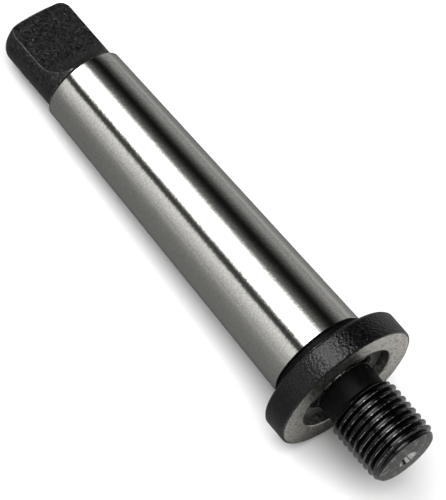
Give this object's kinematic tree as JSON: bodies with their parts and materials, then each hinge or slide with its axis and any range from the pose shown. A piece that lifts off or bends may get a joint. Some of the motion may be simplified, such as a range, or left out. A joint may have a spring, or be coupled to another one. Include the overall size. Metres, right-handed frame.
{
  "type": "threaded chuck arbor",
  "caption": "Tanged Morse taper shank with a recessed thrust collar and a short threaded stud, for mounting a drill chuck in a tapered spindle or tailstock.",
  "frame": {"origin": "on the axis at the Morse taper's gauge plane, where the taper is 17.780 mm across", "axes": "+X along the axis towards the threaded stud, +Z square to the tang's flats, +Y across the tang"},
  "size_m": [0.1003, 0.0266, 0.0266],
  "materials": {
    "ground_steel": "ground bright on the taper, blackened on the tang",
    "black_oxide_steel": "black oxide, with a ground grey front face",
    "oiled_black_steel": "oiled black oxide, worn bright on the thread crests"
  },
  "bodies": {
    "root": {"taper_shank": "ground_steel", "collar_ring": "black_oxide_steel", "threaded_stud": "oiled_black_steel"}
  },
  "joints": []
}
